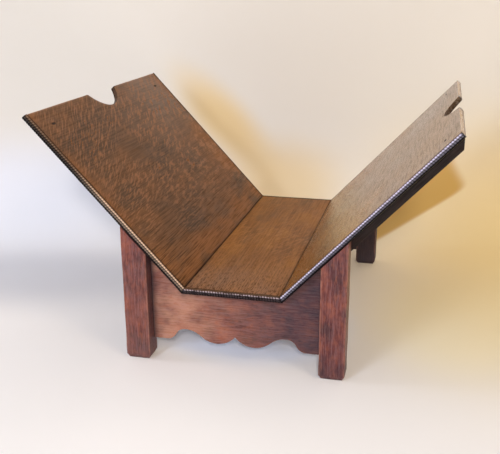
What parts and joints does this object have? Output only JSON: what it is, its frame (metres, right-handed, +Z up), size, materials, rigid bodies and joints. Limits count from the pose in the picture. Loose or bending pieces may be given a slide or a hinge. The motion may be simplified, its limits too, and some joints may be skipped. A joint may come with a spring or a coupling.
{
  "type": "folio stand",
  "caption": "Low oak folio stand: a V-shaped trough of boards with finger notches and rounded end mouldings, on square legs and shaped aprons.",
  "frame": {"origin": "on the floor, midway between the left and right feet and between the front and rear feet", "axes": "+X to the right across the trough, +Y from the front along the trough to the rear, +Z up"},
  "size_m": [0.646, 0.548, 0.3874],
  "materials": {
    "top_oak": "fumed quarter-sawn oak, waxed to a soft sheen",
    "frame_oak": "red-brown stained oak under old polish",
    "hidden_oak": "stained oak, left duller underneath",
    "moulding_oak": "near-black stained oak, rubbed bright along its crown",
    "old_steel": "darkened steel"
  },
  "bodies": {
    "root": {"centre_board": "top_oak", "front_apron": "frame_oak", "front_bearer": "hidden_oak", "front_centre_moulding": "moulding_oak", "front_left_batten": "hidden_oak", "front_left_bearer_screw": "old_steel", "front_left_leg": "frame_oak", "front_left_leg_screw": "old_steel", "front_left_moulding": "moulding_oak", "front_left_nail": "old_steel", "front_left_slope_screw_1": "old_steel", "front_left_slope_screw_2": "old_steel", "front_left_slope_screw_3": "old_steel", "front_right_batten": "hidden_oak", "front_right_bearer_screw": "old_steel", "front_right_leg": "frame_oak", "front_right_leg_screw": "old_steel", "front_right_moulding": "moulding_oak", "front_right_nail": "old_steel", "front_right_slope_screw_1": "old_steel", "front_right_slope_screw_2": "old_steel", "front_right_slope_screw_3": "old_steel", "left_board": "top_oak", "rear_apron": "frame_oak", "rear_bearer": "hidden_oak", "rear_centre_moulding": "moulding_oak", "rear_left_batten": "hidden_oak", "rear_left_bearer_screw": "old_steel", "rear_left_leg": "frame_oak", "rear_left_leg_screw": "old_steel", "rear_left_moulding": "moulding_oak", "rear_left_nail": "old_steel", "rear_left_slope_screw_1": "old_steel", "rear_left_slope_screw_2": "old_steel", "rear_left_slope_screw_3": "old_steel", "rear_right_batten": "hidden_oak", "rear_right_bearer_screw": "old_steel", "rear_right_leg": "frame_oak", "rear_right_leg_screw": "old_steel", "rear_right_moulding": "moulding_oak", "rear_right_nail": "old_steel", "rear_right_slope_screw_1": "old_steel", "rear_right_slope_screw_2": "old_steel", "rear_right_slope_screw_3": "old_steel", "right_board": "top_oak"}
  },
  "joints": []
}
